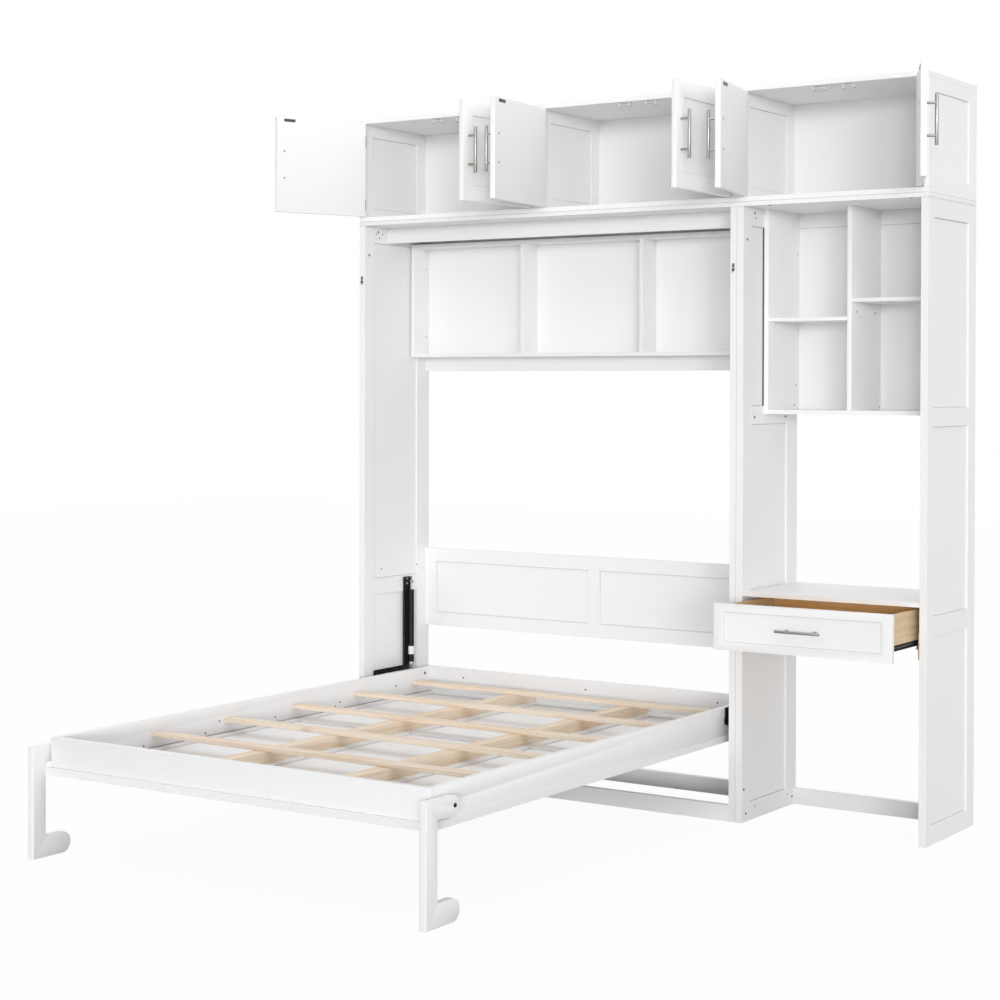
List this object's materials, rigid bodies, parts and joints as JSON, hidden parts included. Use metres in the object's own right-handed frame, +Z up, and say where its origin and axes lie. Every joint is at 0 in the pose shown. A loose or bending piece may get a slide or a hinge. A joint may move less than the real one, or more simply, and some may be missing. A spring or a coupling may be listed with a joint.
{
  "type": "wall bed with desk tower",
  "caption": "Wall bed that folds up into a tower, with a desk tower beside it and a row of door cabinets on top; bed down, doors and drawer open.",
  "frame": {"origin": "on the floor, in the wall plane, on the centreline of the bed", "axes": "+X to the desk tower, +Y towards the wall, +Z up; the bed comes down towards -Y"},
  "size_m": [2.4749, 2.071, 2.4],
  "materials": {
    "white_lacquer": "satin white lacquer on board",
    "pine": "bare sanded pine",
    "plywood": "clear-lacquered birch plywood",
    "black_steel": "black painted steel",
    "brushed_steel": "brushed nickel",
    "chrome": "polished rod"
  },
  "bodies": {
    "frame": {"bed_side_left": "white_lacquer", "bed_side_right": "white_lacquer", "top_boards": "white_lacquer", "header_rail": "white_lacquer", "wall_rail": "white_lacquer", "shelf_case": "white_lacquer", "shelf_back": "white_lacquer", "shelf_rail": "white_lacquer", "headboard": "white_lacquer", "floor_rails": "white_lacquer", "bed_catches": "brushed_steel", "tower_screws": "black_steel", "lift_plates": "black_steel", "desk_side_left": "white_lacquer", "desk_side_right": "white_lacquer", "hutch_sides": "white_lacquer", "hutch_floor": "white_lacquer", "hutch_divider": "white_lacquer", "hutch_shelves": "white_lacquer", "hutch_back": "white_lacquer", "desk_wall_rail": "white_lacquer", "desk_board": "white_lacquer", "drawer_cleats": "plywood", "drawer_runners": "black_steel", "cabinet_left": "white_lacquer", "cabinet_middle": "white_lacquer", "cabinet_right": "white_lacquer", "cabinet_backs": "white_lacquer", "hinge_leaves": "brushed_steel", "magnetic_catches": "brushed_steel"},
    "door_1": {"door_1": "white_lacquer", "door_hardware_1": "brushed_steel"},
    "door_2": {"door_2": "white_lacquer", "door_hardware_2": "brushed_steel"},
    "door_3": {"door_3": "white_lacquer", "door_hardware_3": "brushed_steel"},
    "door_4": {"door_4": "white_lacquer", "door_hardware_4": "brushed_steel"},
    "door_5": {"door_5": "white_lacquer", "door_hardware_5": "brushed_steel"},
    "door_6": {"door_6": "white_lacquer", "door_hardware_6": "brushed_steel"},
    "drawer": {"drawer_front": "white_lacquer", "drawer_box": "plywood", "drawer_bottom": "plywood", "drawer_handle": "brushed_steel", "drawer_slides": "black_steel"},
    "bed": {"head_rail": "white_lacquer", "foot_rail": "white_lacquer", "side_rails": "white_lacquer", "face_panels": "white_lacquer", "long_supports": "pine", "slats": "pine", "rail_screws": "black_steel", "bed_brackets": "black_steel", "bed_bolts": "black_steel"},
    "leg_left": {"leg_left": "white_lacquer"},
    "leg_right": {"leg_right": "white_lacquer"},
    "spring_rods": {"strut_rods": "chrome"},
    "spring_cylinders": {"strut_cylinders": "black_steel"}
  },
  "joints": [
    {"name": "bed_fold", "type": "hinge", "parent": "frame", "child": "bed", "pos_m": [0, -0.331, 0.32], "axis": [-1, 0, 0], "range_deg": [0, 90]},
    {"name": "leg_left_swing", "type": "hinge", "parent": "bed", "child": "leg_left", "pos_m": [-0.7265, -1.945, 0.312], "axis": [1, 0, 0], "range_deg": [0, 90]},
    {"name": "leg_right_swing", "type": "hinge", "parent": "bed", "child": "leg_right", "pos_m": [0.7265, -1.945, 0.312], "axis": [1, 0, 0], "range_deg": [0, 90]},
    {"name": "spring_swing", "type": "hinge", "parent": "frame", "child": "spring_rods", "pos_m": [0, -0.14, 0.686], "axis": [-1, 0, 0], "range_deg": [0, 15.75]},
    {"name": "spring_stroke", "type": "slide", "parent": "spring_rods", "child": "spring_cylinders", "axis": [0, 0, -1], "range_m": [0, 0.2479]},
    {"name": "door_1_hinge", "type": "hinge", "parent": "frame", "child": "door_1", "pos_m": [-0.758, -0.4072, 2.213], "axis": [0, 0, -1], "range_deg": [-110.8, 4.2]},
    {"name": "door_2_hinge", "type": "hinge", "parent": "frame", "child": "door_2", "pos_m": [-0.0175, -0.4072, 2.213], "axis": [0, 0, 1], "range_deg": [-84.8, 1.2]},
    {"name": "door_3_hinge", "type": "hinge", "parent": "frame", "child": "door_3", "pos_m": [0.0175, -0.4072, 2.213], "axis": [0, 0, -1], "range_deg": [-84.8, 1.2]},
    {"name": "door_4_hinge", "type": "hinge", "parent": "frame", "child": "door_4", "pos_m": [0.758, -0.4072, 2.213], "axis": [0, 0, 1], "range_deg": [-90.2, 0.8]},
    {"name": "door_5_hinge", "type": "hinge", "parent": "frame", "child": "door_5", "pos_m": [0.793, -0.4072, 2.213], "axis": [0, 0, -1], "range_deg": [-78.8, 5.2]},
    {"name": "door_6_hinge", "type": "hinge", "parent": "frame", "child": "door_6", "pos_m": [1.417, -0.4072, 2.213], "axis": [0, 0, 1], "range_deg": [-114.8, 3.2]},
    {"name": "drawer_travel", "type": "slide", "parent": "frame", "child": "drawer", "axis": [0, -1, 0], "range_m": [-0.205, 0.095]}
  ],
  "couplings": [
    {"joint": "leg_left_swing", "follows": "bed_fold", "ratio": 1},
    {"joint": "leg_right_swing", "follows": "bed_fold", "ratio": 1},
    {"joint": "spring_swing", "follows": "bed_fold", "ratio": 0.17385},
    {"joint": "spring_stroke", "follows": "bed_fold", "m_per_rad": 0.15752}
  ]
}
